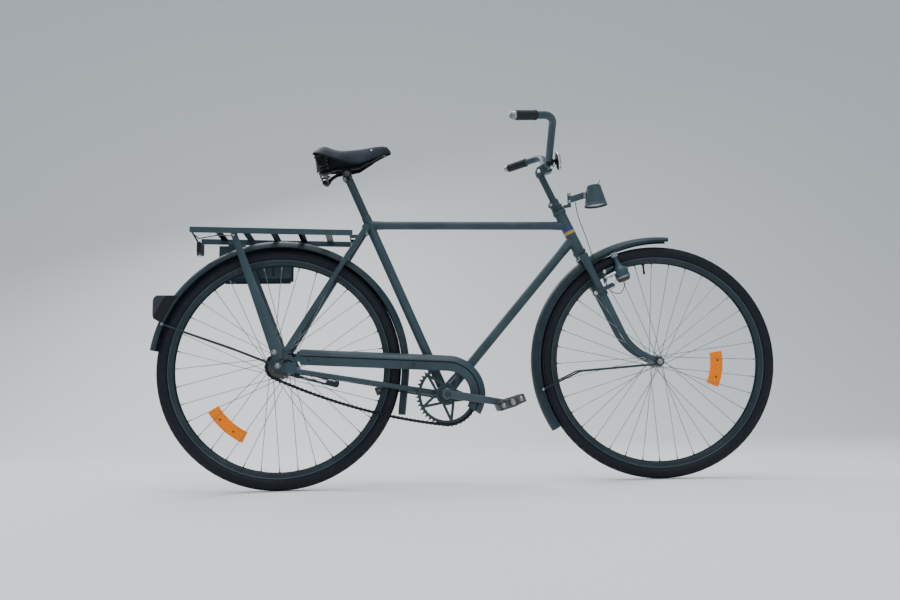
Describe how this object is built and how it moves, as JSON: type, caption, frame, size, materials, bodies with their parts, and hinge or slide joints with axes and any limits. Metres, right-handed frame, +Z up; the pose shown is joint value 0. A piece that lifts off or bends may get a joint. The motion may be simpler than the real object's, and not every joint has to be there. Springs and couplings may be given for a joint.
{
  "type": "bicycle",
  "caption": "An army roadster bicycle in matt grey-green with a carrier, a left side toolbox, a bottle dynamo, a drooping headlamp and a sprung leather saddle.",
  "frame": {"origin": "the point of the saddle that the rider sits on, 1.0165 m over the ground", "axes": "+X forward, +Y to the rider's left, +Z up; the drive side is the right side"},
  "size_m": [1.8674, 0.6166, 1.0943],
  "materials": {
    "frame_paint": "matt",
    "steel": "satin",
    "dark_steel": "oiled",
    "black_metal": "gloss",
    "chrome": "polished",
    "leather": "worn",
    "grip_rubber": "matt",
    "tyre": "matt",
    "amber": "gloss",
    "red_lens": "gloss",
    "clear_lens": "clear",
    "black_plastic": "matt",
    "wire": "matt"
  },
  "bodies": {
    "root": {"bottom_bracket": "frame_paint", "seat_tube": "frame_paint", "top_tube": "frame_paint", "down_tube": "frame_paint", "head_tube": "frame_paint", "chain_stays": "frame_paint", "seat_stays": "frame_paint", "rear_axle": "steel", "brake_arm": "steel", "rear_mudguard": "frame_paint", "rear_guard_stays": "frame_paint", "rack_platform": "frame_paint", "rack_struts": "frame_paint", "rack_reflector": "black_plastic", "toolbox": "frame_paint", "chain_guard": "frame_paint", "chain": "dark_steel", "seat_post": "steel", "saddle_frame": "black_metal", "saddle_cover": "leather", "rear_lamp_base": "black_plastic", "rear_lamp_lens": "red_lens"},
    "fork": {"fork_crown": "frame_paint", "fork_blades": "frame_paint", "front_axle": "steel", "headset": "steel", "stem": "chrome", "handlebar": "frame_paint", "grips": "grip_rubber", "bell": "chrome", "headlamp": "frame_paint", "headlamp_lens": "clear_lens", "lamp_bracket": "frame_paint", "dynamo": "frame_paint", "dynamo_bracket": "steel", "lamp_wire": "wire", "front_mudguard": "frame_paint", "front_guard_stays": "frame_paint"},
    "front_wheel": {"front_tyre": "tyre", "front_rim": "frame_paint", "front_hub": "steel", "front_spokes": "steel", "front_reflector": "amber"},
    "rear_wheel": {"rear_tyre": "tyre", "rear_rim": "frame_paint", "rear_hub": "steel", "rear_spokes": "steel", "rear_reflector": "amber"},
    "crank": {"chainring": "dark_steel", "crank_right": "steel", "crank_left": "steel"},
    "pedal_right": {"pedal_right": "steel", "pedal_blocks_right": "grip_rubber"},
    "pedal_left": {"pedal_left": "steel", "pedal_blocks_left": "grip_rubber"},
    "sprocket": {"sprocket": "dark_steel"},
    "toolbox_lid": {"toolbox_lid": "frame_paint"}
  },
  "joints": [
    {"name": "steering", "type": "hinge", "parent": "root", "child": "fork", "pos_m": [0.92412, 0, -0.661], "axis": [-0.4131, 0, 0.9107], "range_deg": [-46, 64]},
    {"name": "front_wheel_spin", "type": "hinge", "parent": "fork", "child": "front_wheel", "pos_m": [0.98933, -0.00939, -0.66131], "axis": [0.1425, 0.9877, 0.0646], "continuous": true},
    {"name": "rear_wheel_spin", "type": "hinge", "parent": "root", "child": "rear_wheel", "pos_m": [-0.15, 0, -0.661], "axis": [0, 1, 0], "continuous": true},
    {"name": "crank_spin", "type": "hinge", "parent": "root", "child": "crank", "pos_m": [0.337, 0, -0.7505], "axis": [0, 1, 0], "continuous": true},
    {"name": "pedal_right_spin", "type": "hinge", "parent": "crank", "child": "pedal_right", "pos_m": [0.50955, -0.0775, -0.77968], "axis": [0, 1, 0], "continuous": true},
    {"name": "pedal_left_spin", "type": "hinge", "parent": "crank", "child": "pedal_left", "pos_m": [0.16445, 0.0775, -0.72132], "axis": [0, 1, 0], "continuous": true},
    {"name": "sprocket_spin", "type": "hinge", "parent": "root", "child": "sprocket", "pos_m": [-0.15, -0.044, -0.661], "axis": [0, 1, 0], "continuous": true},
    {"name": "toolbox_lid_hinge", "type": "hinge", "parent": "root", "child": "toolbox_lid", "pos_m": [-0.241, 0.14905, -0.3812], "axis": [-1, 0, 0], "range_deg": [0, 100]}
  ],
  "couplings": [
    {"joint": "sprocket_spin", "follows": "crank_spin", "ratio": 2.4444}
  ]
}
